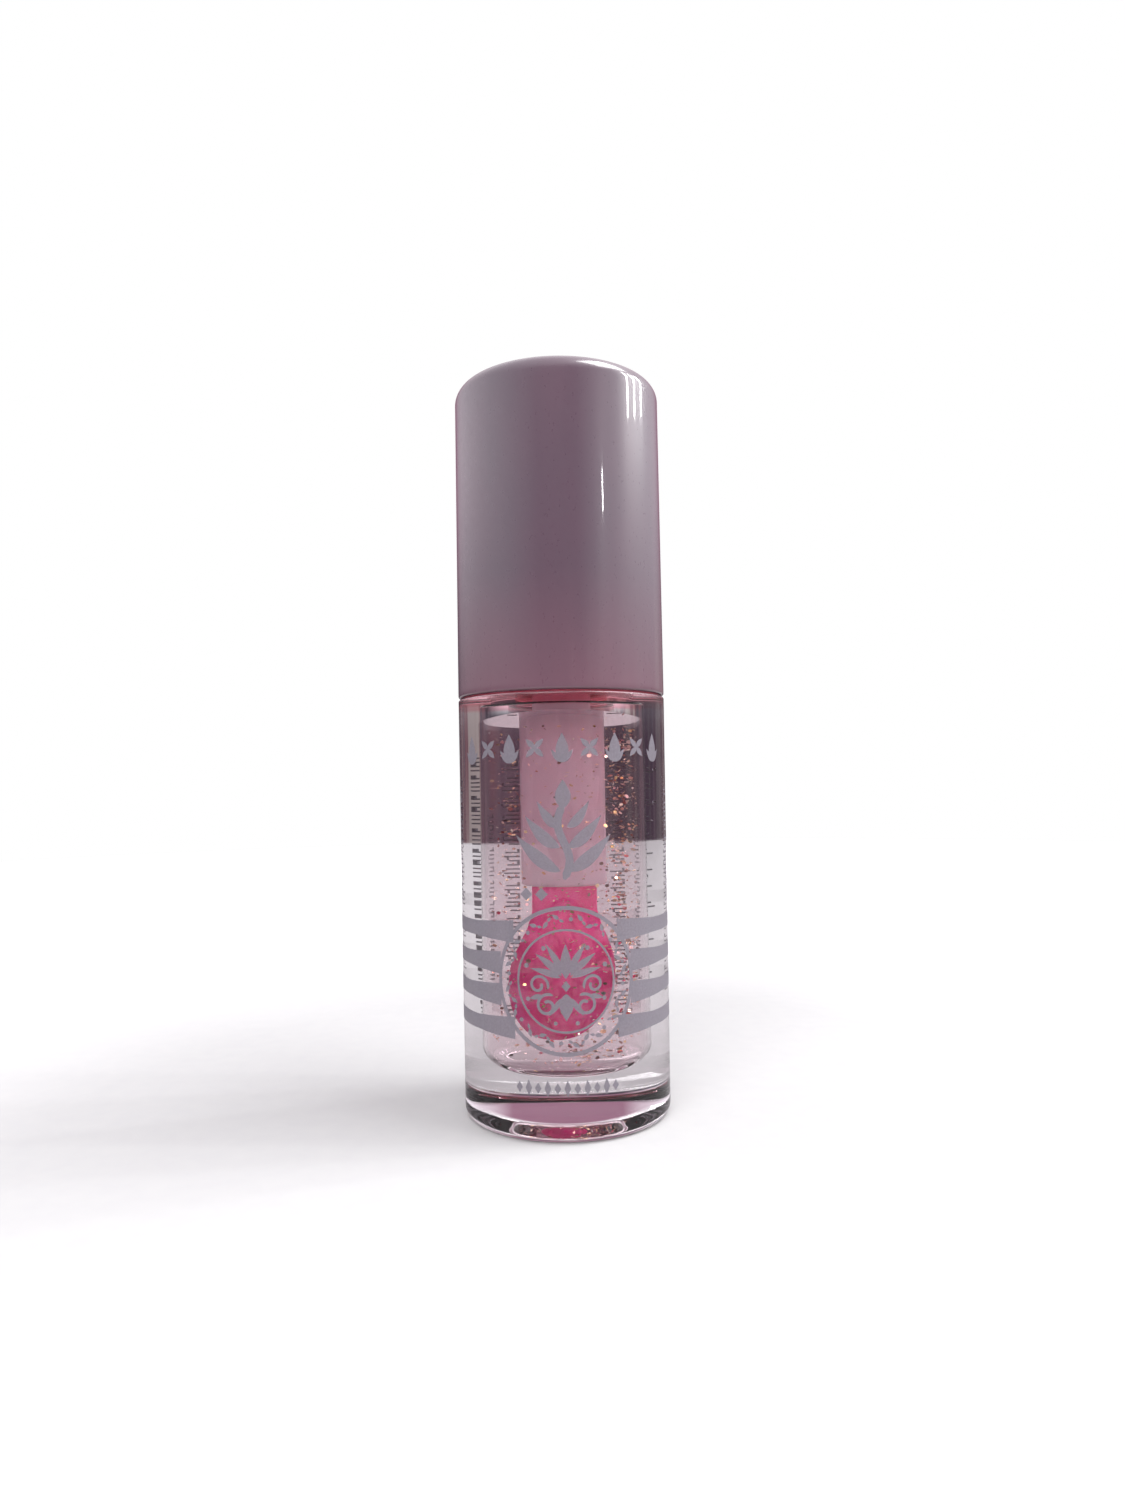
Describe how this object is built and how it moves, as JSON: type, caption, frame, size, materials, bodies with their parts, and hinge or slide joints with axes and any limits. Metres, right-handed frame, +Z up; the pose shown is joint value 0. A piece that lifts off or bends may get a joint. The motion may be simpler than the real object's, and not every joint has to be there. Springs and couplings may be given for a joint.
{
  "type": "lip gloss tube",
  "caption": "Round lip gloss tube: thick clear bottle of shimmering gloss under a glossy screw cap that carries a flocked applicator.",
  "frame": {"origin": "centre of the bottle's base, on the surface it stands on", "axes": "+Z up along the tube's own axis, towards the cap; +Y away from the front of the printed ornament"},
  "size_m": [0.02, 0.02, 0.07],
  "materials": {
    "clear_bottle": "crystal-clear thick moulded plastic, polished",
    "wiper_plastic": "soft milky plastic",
    "gloss_fill": "pale pink gloss, slightly cloudy",
    "glitter_flake": "rose-gold metallic film",
    "seal_foam": "off-white closed-cell foam",
    "cap_plastic": "opaque mauve-pink plastic, high gloss",
    "insert_plastic": "satin moulded plastic",
    "stem_plastic": "pale pink milky plastic, glossy when wet",
    "core_rubber": "soft hot-pink moulded core",
    "flocking": "short dense hot-pink velvet flock",
    "print_ink": "silver-grey screen print on the bottle"
  },
  "bodies": {
    "bottle": {"bottle": "clear_bottle", "wiper": "wiper_plastic", "gloss": "gloss_fill", "glitter": "glitter_flake"},
    "seal": {"sealing_ring": "seal_foam"},
    "cap": {"cap_shell": "cap_plastic", "inner_cap": "insert_plastic", "stem": "stem_plastic", "applicator_core": "core_rubber", "applicator_flock": "flocking"}
  },
  "joints": [
    {"name": "cap_rise", "type": "slide", "parent": "bottle", "child": "seal", "axis": [0, 0, 1], "range_m": [0, 0.045], "deforming": ["wiper"]},
    {"name": "cap_turn", "type": "hinge", "parent": "seal", "child": "cap", "pos_m": [0, 0, 0.055], "axis": [0, 0, 1], "range_deg": [0, 5400]}
  ],
  "couplings": [
    {"joint": "cap_rise", "follows": "cap_turn", "m_per_rad": 0.00047746}
  ]
}
